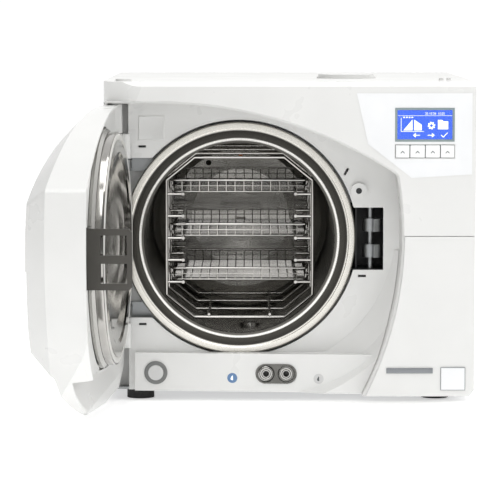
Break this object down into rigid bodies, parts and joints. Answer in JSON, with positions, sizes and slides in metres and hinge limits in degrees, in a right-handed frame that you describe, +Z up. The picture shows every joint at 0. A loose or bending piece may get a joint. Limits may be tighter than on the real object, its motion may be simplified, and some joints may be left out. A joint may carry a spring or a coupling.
{
  "type": "benchtop autoclave",
  "caption": "Benchtop steam autoclave with a round stainless chamber, swing door, wire rack with trays, display and push keys.",
  "frame": {"origin": "centre of the cabinet's footprint on the bench, at the feet's soles", "axes": "+X to the right seen from the front, +Y from the door to the back, +Z up"},
  "size_m": [0.5589, 0.8588, 0.4255],
  "materials": {
    "white_abs": "gloss",
    "white_cover": "gloss",
    "liner_white": "satin",
    "cabinet_paint": "satin",
    "rubber": "matt",
    "zinc_steel": "satin",
    "stainless": "polished",
    "polished_steel": "mirror",
    "dark_steel": "satin",
    "black_plastic": "matt",
    "insulation": "woven",
    "heater_foil": "satin",
    "brass": "satin",
    "copper_pipe": "satin",
    "pump_alloy": "cast",
    "tank_plastic": "translucent look",
    "circuit_green": "lacquered",
    "overlay_white": "satin film",
    "bezel_grey": "satin",
    "screen_glass": "clear",
    "screen_blue": "lit",
    "key_white": "satin",
    "button_grey": "satin",
    "silicone": "satin",
    "plated": "polished",
    "nameplate_grey": "satin"
  },
  "bodies": {
    "cabinet": {"front_fascia": "white_abs", "lower_right_cover": "white_cover", "drain_panel": "white_abs", "cabinet_cover": "cabinet_paint", "base_pan": "zinc_steel", "bulkhead": "cabinet_paint", "rear_panel": "cabinet_paint", "feet": "rubber", "chamber_vessel": "stainless", "chamber_flange": "stainless", "drain_strainer": "stainless", "band_heaters": "heater_foil", "chamber_insulation": "insulation", "lock_housing": "black_plastic", "lock_motor": "zinc_steel", "hinge_bracket": "zinc_steel", "steam_generator": "stainless", "vacuum_pump": "pump_alloy", "water_pump": "pump_alloy", "clean_water_tank": "tank_plastic", "used_water_tank": "tank_plastic", "condenser": "heater_foil", "fan_housing": "black_plastic", "fan_grille": "zinc_steel", "power_inlet": "black_plastic", "main_board": "circuit_green", "power_supply": "zinc_steel", "front_board": "circuit_green", "valve_block": "brass", "steam_pipes": "copper_pipe", "safety_valve": "brass", "control_overlay": "overlay_white", "display_bezel": "bezel_grey", "display_glass": "screen_glass", "display_module": "screen_blue", "button_ring": "black_plastic", "drain_bezel": "black_plastic", "drain_couplings": "plated", "nameplate": "nameplate_grey"},
    "door": {"door_cover": "white_abs", "door_liner": "liner_white", "door_plate": "stainless", "door_disc": "polished_steel", "door_gasket": "silicone", "door_lock_bracket": "dark_steel", "door_knuckles": "white_abs"},
    "rack": {"rack": "polished_steel"},
    "tray_upper": {"tray_upper": "polished_steel"},
    "tray_middle": {"tray_middle": "polished_steel"},
    "tray_lower": {"tray_lower": "polished_steel"},
    "lock_rotor": {"lock_rotor": "zinc_steel"},
    "fan": {"fan_rotor": "black_plastic"},
    "filler_cap": {"filler_cap": "white_abs"},
    "power_button": {"power_button": "button_grey"},
    "sensor_pin": {"sensor_pin": "black_plastic"},
    "key_1": {"key_1": "key_white"},
    "key_2": {"key_2": "key_white"},
    "key_3": {"key_3": "key_white"},
    "key_4": {"key_4": "key_white"}
  },
  "joints": [
    {"name": "door_hinge", "type": "hinge", "parent": "cabinet", "child": "door", "pos_m": [-0.212, -0.215, 0.21], "axis": [0, 0, 1], "range_deg": [-5, 94.5]},
    {"name": "door_lock", "type": "hinge", "parent": "cabinet", "child": "lock_rotor", "pos_m": [0.108, -0.186, 0.214], "axis": [0, 0, -1], "range_deg": [0, 135]},
    {"name": "rack_slide", "type": "slide", "parent": "cabinet", "child": "rack", "axis": [0, 1, 0], "range_m": [-0.3, 0]},
    {"name": "tray_upper_slide", "type": "slide", "parent": "rack", "child": "tray_upper", "axis": [0, 1, 0], "range_m": [-0.25, 0]},
    {"name": "tray_middle_slide", "type": "slide", "parent": "rack", "child": "tray_middle", "axis": [0, 1, 0], "range_m": [-0.25, 0]},
    {"name": "tray_lower_slide", "type": "slide", "parent": "rack", "child": "tray_lower", "axis": [0, 1, 0], "range_m": [-0.25, 0]},
    {"name": "key_1_press", "type": "slide", "parent": "cabinet", "child": "key_1", "axis": [0, 1, 0], "range_m": [0, 0.001], "stiffness_N_per_m": 600},
    {"name": "key_2_press", "type": "slide", "parent": "cabinet", "child": "key_2", "axis": [0, 1, 0], "range_m": [0, 0.001], "stiffness_N_per_m": 600},
    {"name": "key_3_press", "type": "slide", "parent": "cabinet", "child": "key_3", "axis": [0, 1, 0], "range_m": [0, 0.001], "stiffness_N_per_m": 600},
    {"name": "key_4_press", "type": "slide", "parent": "cabinet", "child": "key_4", "axis": [0, 1, 0], "range_m": [0, 0.001], "stiffness_N_per_m": 600},
    {"name": "power_button_press", "type": "slide", "parent": "cabinet", "child": "power_button", "axis": [0, 1, 0], "range_m": [0, 0.002], "stiffness_N_per_m": 500},
    {"name": "sensor_press", "type": "slide", "parent": "cabinet", "child": "sensor_pin", "axis": [0, 1, 0], "range_m": [0, 0.0035], "stiffness_N_per_m": 300},
    {"name": "fan_spin", "type": "hinge", "parent": "cabinet", "child": "fan", "pos_m": [-0.11, 0.26, 0.11], "axis": [0, 1, 0], "continuous": true},
    {"name": "filler_cap_lift", "type": "slide", "parent": "cabinet", "child": "filler_cap", "axis": [0, 0, 1], "range_m": [0, 0.06]}
  ]
}
